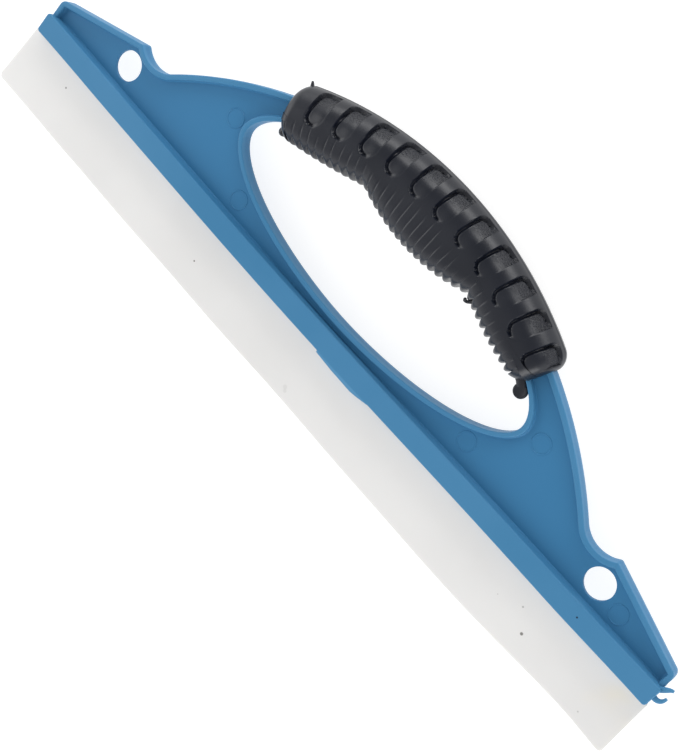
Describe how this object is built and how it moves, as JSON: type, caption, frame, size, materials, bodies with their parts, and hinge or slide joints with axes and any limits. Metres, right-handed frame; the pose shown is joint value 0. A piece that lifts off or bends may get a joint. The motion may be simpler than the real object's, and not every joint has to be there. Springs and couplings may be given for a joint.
{
  "type": "window cleaning squeegee",
  "caption": "Hand squeegee with a D-shaped handle, a padded grip sleeve and a long silicone wiping blade held in a slotted bar.",
  "frame": {"origin": "below the middle of the bounding box, on the surface that the squeegee lies on with its front face up", "axes": "+X along the blade towards the channel's open end, +Y from the wiping edge towards the handle, +Z out of the front face"},
  "size_m": [0.3072, 0.093, 0.021],
  "materials": {
    "frame_plastic": "satin",
    "grip_rubber": "satin",
    "blade_silicone": "matte, slightly translucent"
  },
  "bodies": {
    "handle": {"frame": "frame_plastic", "grip": "grip_rubber"},
    "blade_carrier": {"blade_bead": "blade_silicone"},
    "blade": {"blade_lip": "blade_silicone"}
  },
  "joints": [
    {"name": "blade_slide", "type": "slide", "parent": "handle", "child": "blade_carrier", "axis": [1, 0, 0], "range_m": [0, 0.305]},
    {"name": "blade_flex", "type": "hinge", "parent": "blade_carrier", "child": "blade", "pos_m": [-0.0011, -0.0251, 0.0105], "axis": [1, 0, 0], "range_deg": [-40, 40], "stiffness_Nm_per_rad": 0.15}
  ]
}
